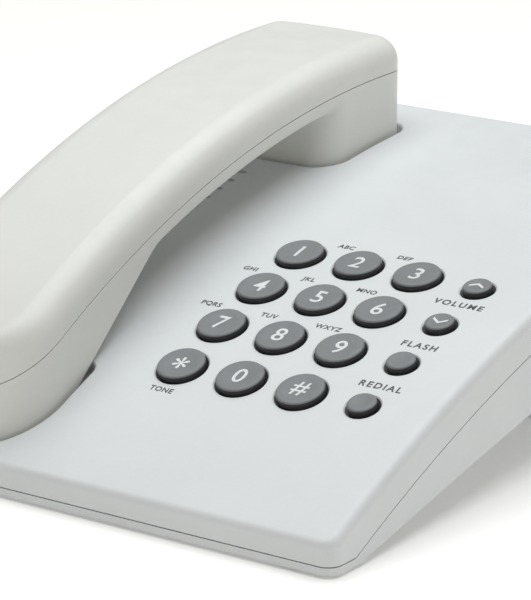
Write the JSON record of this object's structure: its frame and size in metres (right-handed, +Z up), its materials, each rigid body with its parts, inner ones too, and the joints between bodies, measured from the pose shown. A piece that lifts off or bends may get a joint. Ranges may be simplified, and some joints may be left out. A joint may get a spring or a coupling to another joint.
{
  "type": "desk telephone",
  "caption": "Corded push-button desk telephone: arched wedge base with round grey keys and a long handset lying along its left side.",
  "frame": {"origin": "on the table, under the middle of the base's plan outline", "axes": "+X to the user's right, +Y to the rear, away from the user, +Z up; the front edge with the low lip faces -Y"},
  "size_m": [0.15, 0.2, 0.0852],
  "materials": {
    "case_plastic": "fine texture",
    "handset_plastic": "fine texture",
    "key_plastic": "satin",
    "foot_rubber": "matte",
    "keypad_silicone": "matte",
    "board_laminate": "semi-gloss",
    "screw_steel": "zinc plated",
    "weight_steel": "plain",
    "socket_plastic": "moulded",
    "knob_plastic": "satin",
    "speaker_metal": "satin",
    "seal_foam": "soft",
    "coil_core": "varnished",
    "capacitor_sleeve": "gloss"
  },
  "bodies": {
    "base": {"top_case": "case_plastic", "bottom_case": "case_plastic", "case_screws": "screw_steel", "main_board": "board_laminate", "board_screws": "screw_steel", "keypad_sheet": "keypad_silicone", "line_transformer": "coil_core", "capacitors": "capacitor_sleeve", "dialling_chip": "socket_plastic", "ringer_speaker": "speaker_metal", "ringer_gasket": "seal_foam", "hookswitch_body": "socket_plastic", "hookswitch_spring": "screw_steel", "handset_hook": "handset_plastic", "line_jack": "socket_plastic", "cord_jack": "socket_plastic", "ringer_switch": "socket_plastic", "mode_switch": "socket_plastic", "ballast_plate": "weight_steel", "rubber_foot_1": "foot_rubber", "rubber_foot_2": "foot_rubber", "rubber_foot_3": "foot_rubber", "rubber_foot_4": "foot_rubber"},
    "handset": {"handset_outer_shell": "handset_plastic", "handset_inner_shell": "handset_plastic", "handset_screws": "screw_steel", "handset_weight": "weight_steel", "receiver": "speaker_metal", "receiver_seal": "seal_foam", "microphone": "speaker_metal", "microphone_boot": "seal_foam", "handset_jack": "socket_plastic"},
    "hookswitch": {"hookswitch_plunger": "knob_plastic"},
    "ringer_slider": {"ringer_knob": "knob_plastic"},
    "mode_slider": {"mode_knob": "knob_plastic"},
    "key_1_body": {"key_1": "key_plastic"},
    "key_2_body": {"key_2": "key_plastic"},
    "key_3_body": {"key_3": "key_plastic"},
    "key_volume_up_body": {"key_volume_up": "key_plastic"},
    "key_4_body": {"key_4": "key_plastic"},
    "key_5_body": {"key_5": "key_plastic"},
    "key_6_body": {"key_6": "key_plastic"},
    "key_volume_down_body": {"key_volume_down": "key_plastic"},
    "key_7_body": {"key_7": "key_plastic"},
    "key_8_body": {"key_8": "key_plastic"},
    "key_9_body": {"key_9": "key_plastic"},
    "key_flash_body": {"key_flash": "key_plastic"},
    "key_star_body": {"key_star": "key_plastic"},
    "key_0_body": {"key_0": "key_plastic"},
    "key_hash_body": {"key_hash": "key_plastic"},
    "key_redial_body": {"key_redial": "key_plastic"}
  },
  "joints": [
    {"name": "key_1_press", "type": "slide", "parent": "base", "child": "key_1_body", "axis": [0, 0.2547, -0.967], "range_m": [0, 0.0015], "stiffness_N_per_m": 500, "springref_m": -0.0005},
    {"name": "key_2_press", "type": "slide", "parent": "base", "child": "key_2_body", "axis": [0, 0.2547, -0.967], "range_m": [0, 0.0015], "stiffness_N_per_m": 500, "springref_m": -0.0005},
    {"name": "key_3_press", "type": "slide", "parent": "base", "child": "key_3_body", "axis": [0, 0.2547, -0.967], "range_m": [0, 0.0015], "stiffness_N_per_m": 500, "springref_m": -0.0005},
    {"name": "key_volume_up_press", "type": "slide", "parent": "base", "child": "key_volume_up_body", "axis": [0, 0.2547, -0.967], "range_m": [0, 0.0015], "stiffness_N_per_m": 500, "springref_m": -0.0005},
    {"name": "key_4_press", "type": "slide", "parent": "base", "child": "key_4_body", "axis": [0, 0.2925, -0.9563], "range_m": [0, 0.0015], "stiffness_N_per_m": 500, "springref_m": -0.0005},
    {"name": "key_5_press", "type": "slide", "parent": "base", "child": "key_5_body", "axis": [0, 0.2925, -0.9563], "range_m": [0, 0.0015], "stiffness_N_per_m": 500, "springref_m": -0.0005},
    {"name": "key_6_press", "type": "slide", "parent": "base", "child": "key_6_body", "axis": [0, 0.2925, -0.9563], "range_m": [0, 0.0015], "stiffness_N_per_m": 500, "springref_m": -0.0005},
    {"name": "key_volume_down_press", "type": "slide", "parent": "base", "child": "key_volume_down_body", "axis": [0, 0.2925, -0.9563], "range_m": [0, 0.0015], "stiffness_N_per_m": 500, "springref_m": -0.0005},
    {"name": "key_7_press", "type": "slide", "parent": "base", "child": "key_7_body", "axis": [0, 0.3298, -0.9441], "range_m": [0, 0.0015], "stiffness_N_per_m": 500, "springref_m": -0.0005},
    {"name": "key_8_press", "type": "slide", "parent": "base", "child": "key_8_body", "axis": [0, 0.3298, -0.9441], "range_m": [0, 0.0015], "stiffness_N_per_m": 500, "springref_m": -0.0005},
    {"name": "key_9_press", "type": "slide", "parent": "base", "child": "key_9_body", "axis": [0, 0.3298, -0.9441], "range_m": [0, 0.0015], "stiffness_N_per_m": 500, "springref_m": -0.0005},
    {"name": "key_flash_press", "type": "slide", "parent": "base", "child": "key_flash_body", "axis": [0, 0.3298, -0.9441], "range_m": [0, 0.0015], "stiffness_N_per_m": 500, "springref_m": -0.0005},
    {"name": "key_star_press", "type": "slide", "parent": "base", "child": "key_star_body", "axis": [0, 0.3665, -0.9304], "range_m": [0, 0.0015], "stiffness_N_per_m": 500, "springref_m": -0.0005},
    {"name": "key_0_press", "type": "slide", "parent": "base", "child": "key_0_body", "axis": [0, 0.3665, -0.9304], "range_m": [0, 0.0015], "stiffness_N_per_m": 500, "springref_m": -0.0005},
    {"name": "key_hash_press", "type": "slide", "parent": "base", "child": "key_hash_body", "axis": [0, 0.3665, -0.9304], "range_m": [0, 0.0015], "stiffness_N_per_m": 500, "springref_m": -0.0005},
    {"name": "key_redial_press", "type": "slide", "parent": "base", "child": "key_redial_body", "axis": [0, 0.3665, -0.9304], "range_m": [0, 0.0015], "stiffness_N_per_m": 500, "springref_m": -0.0005},
    {"name": "handset_lift", "type": "slide", "parent": "base", "child": "handset", "axis": [0, 0, 1], "range_m": [0, 0.1]},
    {"name": "hookswitch_rise", "type": "slide", "parent": "base", "child": "hookswitch", "axis": [0, 0, 1], "range_m": [0, 0.004], "stiffness_N_per_m": 60, "springref_m": 0.008, "deforming": ["hookswitch_spring"]},
    {"name": "ringer_slide", "type": "slide", "parent": "base", "child": "ringer_slider", "axis": [1, 0, 0], "range_m": [0, 0.004]},
    {"name": "mode_slide", "type": "slide", "parent": "base", "child": "mode_slider", "axis": [1, 0, 0], "range_m": [0, 0.004]}
  ],
  "couplings": [
    {"joint": "hookswitch_rise", "follows": "handset_lift", "ratio": 0.04}
  ]
}
